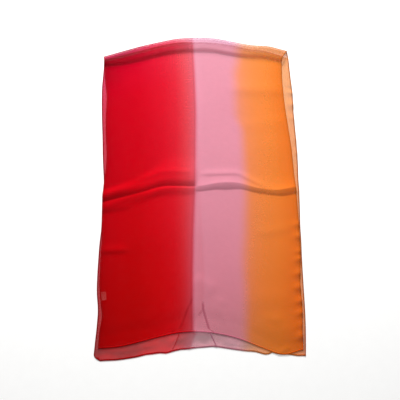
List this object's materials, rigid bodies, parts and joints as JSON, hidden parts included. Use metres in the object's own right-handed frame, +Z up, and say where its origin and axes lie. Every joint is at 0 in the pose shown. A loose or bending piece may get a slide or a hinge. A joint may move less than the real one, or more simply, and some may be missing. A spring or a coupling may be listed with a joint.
{
  "type": "georgette scarf",
  "caption": "Long sheer rectangular scarf with rolled hems, folded in half and laid flat, with a soft roll at the fold and shallow pressed creases.",
  "frame": {"origin": "on the surface, under the middle of the folded scarf's box", "axes": "+X across the cloth to the right, +Y along the cloth towards the fold, +Z up from the surface"},
  "size_m": [0.5127, 0.8575, 0.013],
  "materials": {
    "georgette": "sheer crepe georgette, banded red, pink and orange along its length, matte with a faint sheen",
    "rolled_hem": "the same cloth rolled to a narrow cord and slip stitched, so denser and darker",
    "label_tape": "pale woven tape, bare"
  },
  "bodies": {
    "root": {"lower_half": "georgette", "fold_turn": "georgette", "upper_half": "georgette", "left_hem": "rolled_hem", "right_hem": "rolled_hem", "upper_end_hem": "rolled_hem", "lower_end_hem": "rolled_hem", "care_label": "label_tape"}
  },
  "joints": []
}
